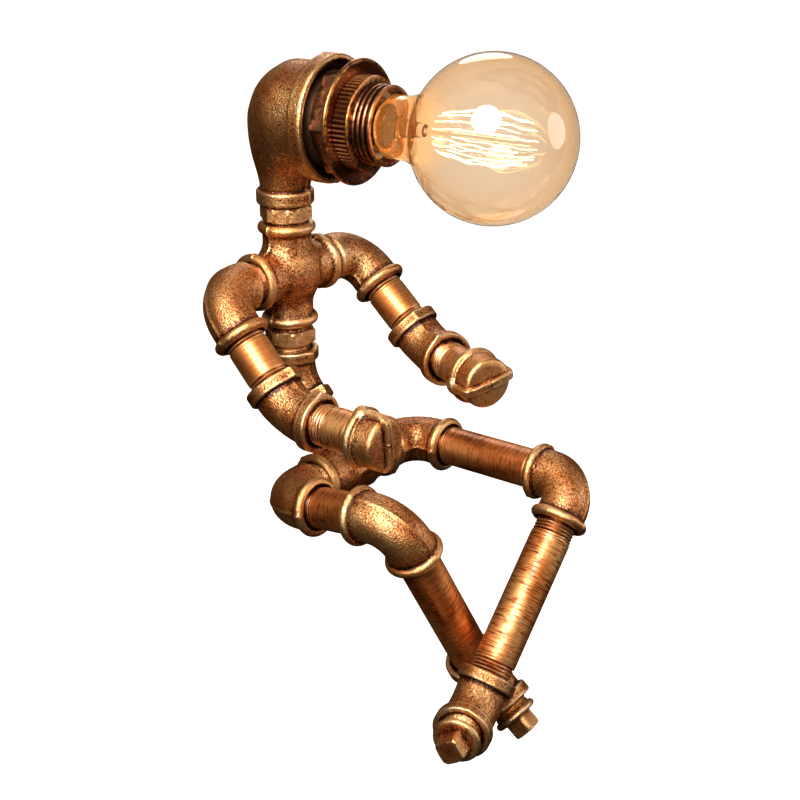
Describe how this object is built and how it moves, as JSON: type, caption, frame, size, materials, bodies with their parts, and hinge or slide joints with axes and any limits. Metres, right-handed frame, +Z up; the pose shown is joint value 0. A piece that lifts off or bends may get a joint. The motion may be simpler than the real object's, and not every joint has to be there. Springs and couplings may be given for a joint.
{
  "type": "robot shaped desk lamp",
  "caption": "Seated robot-figure desk lamp screwed together from bronzed iron pipe fittings, with an amber globe bulb as its head.",
  "frame": {"origin": "the lowest point of the pelvis tee, where it rests on the edge of a shelf, midway between the hips", "axes": "+Z up; the figure faces -Y, and its left side is +X"},
  "size_m": [0.1429, 0.1883, 0.3527],
  "materials": {
    "cast_fittings": "dark antique bronze paint, stippled like a casting and rubbed lighter on the high places",
    "pipes": "antique bronze paint brushed round the pipe, with darker streaks",
    "nipples_and_plugs": "dark antique bronze paint on machined flats",
    "lampholder_brass": "aged brass, darker in the thread's roots",
    "holder_ceramic": "glazed ceramic",
    "amber_glass": "clear amber glass",
    "clear_glass": "clear glass",
    "filament": "thin wire",
    "bush": "black moulded bush",
    "lead_jacket": "black flexible lead"
  },
  "bodies": {
    "torso": {"pelvis_tee": "cast_fittings", "pelvis_nipple": "pipes", "waist_elbow": "cast_fittings", "waist_nipple": "nipples_and_plugs", "chest_cross": "cast_fittings", "neck_nipple": "nipples_and_plugs", "inlet_bush": "bush", "body_lead": "lead_jacket"},
    "head": {"head_elbow": "cast_fittings", "head_bushing": "nipples_and_plugs", "holder_shell": "lampholder_brass", "holder_core": "holder_ceramic", "centre_contact": "lampholder_brass", "shade_ring": "lampholder_brass", "bulb_base": "lampholder_brass", "bulb_glass": "amber_glass", "bulb_stem": "clear_glass", "bulb_filament": "filament", "head_lead": "lead_jacket"},
    "right_arm": {"right_shoulder_elbow": "cast_fittings", "right_upper_arm": "pipes"},
    "right_forearm_and_hand": {"right_arm_elbow": "cast_fittings", "right_forearm": "pipes", "right_hand_cap": "cast_fittings"},
    "right_thigh_and_hip": {"right_hip_elbow": "cast_fittings", "right_thigh": "pipes"},
    "right_lower_leg": {"right_knee_elbow": "cast_fittings", "right_shin": "pipes"},
    "right_foot": {"right_ankle_elbow": "cast_fittings", "right_foot_plug": "nipples_and_plugs"},
    "left_arm": {"left_shoulder_elbow": "cast_fittings", "left_upper_arm": "pipes"},
    "left_forearm_and_hand": {"left_arm_elbow": "cast_fittings", "left_forearm": "pipes", "left_hand_cap": "cast_fittings"},
    "left_thigh_and_hip": {"left_hip_elbow": "cast_fittings", "left_thigh": "pipes"},
    "left_lower_leg": {"left_knee_elbow": "cast_fittings", "left_shin": "pipes"},
    "left_foot": {"left_ankle_elbow": "cast_fittings", "left_foot_plug": "nipples_and_plugs"}
  },
  "joints": [
    {"name": "head_turn", "type": "hinge", "parent": "torso", "child": "head", "pos_m": [0, 0.04031, 0.15471], "axis": [0, 0, 1], "range_deg": [-60, 60]},
    {"name": "right_shoulder_swing", "type": "hinge", "parent": "torso", "child": "right_arm", "pos_m": [-0.0276, 0.04031, 0.11671], "axis": [-1, 0, 0], "range_deg": [-4, 40]},
    {"name": "left_shoulder_swing", "type": "hinge", "parent": "torso", "child": "left_arm", "pos_m": [0.0276, 0.04031, 0.11671], "axis": [-1, 0, 0], "range_deg": [-6, 25]},
    {"name": "right_forearm_turn", "type": "hinge", "parent": "right_arm", "child": "right_forearm_and_hand", "pos_m": [-0.0532, 0.00397, 0.07908], "axis": [0, -0.6947, -0.7193], "range_deg": [-30, 30]},
    {"name": "left_forearm_turn", "type": "hinge", "parent": "left_arm", "child": "left_forearm_and_hand", "pos_m": [0.0532, 0.00083, 0.08239], "axis": [0, -0.7547, -0.6561], "range_deg": [-30, 30]},
    {"name": "right_hip_swing", "type": "hinge", "parent": "torso", "child": "right_thigh_and_hip", "pos_m": [-0.028, 0, 0.0152], "axis": [-1, 0, 0], "range_deg": [-8, 0]},
    {"name": "left_hip_swing", "type": "hinge", "parent": "torso", "child": "left_thigh_and_hip", "pos_m": [0.028, 0, 0.0152], "axis": [-1, 0, 0], "range_deg": [0, 12]},
    {"name": "right_knee_turn", "type": "hinge", "parent": "right_thigh_and_hip", "child": "right_lower_leg", "pos_m": [-0.0536, -0.05106, 0.02265], "axis": [0, 0.9895, -0.1444], "range_deg": [-12, 0]},
    {"name": "left_knee_turn", "type": "hinge", "parent": "left_thigh_and_hip", "child": "left_lower_leg", "pos_m": [0.0536, -0.08457, 0.01727], "axis": [0, -0.9997, 0.0244], "range_deg": [-12, 0]},
    {"name": "right_foot_turn", "type": "hinge", "parent": "right_lower_leg", "child": "right_foot", "pos_m": [-0.00858, -0.08932, -0.06505], "axis": [0.4384, -0.1297, -0.8894], "range_deg": [-30, 30]},
    {"name": "left_foot_turn", "type": "hinge", "parent": "left_lower_leg", "child": "left_foot", "pos_m": [-0.02432, -0.11167, -0.06002], "axis": [-0.7071, -0.0173, -0.7069], "range_deg": [-30, 30]}
  ]
}
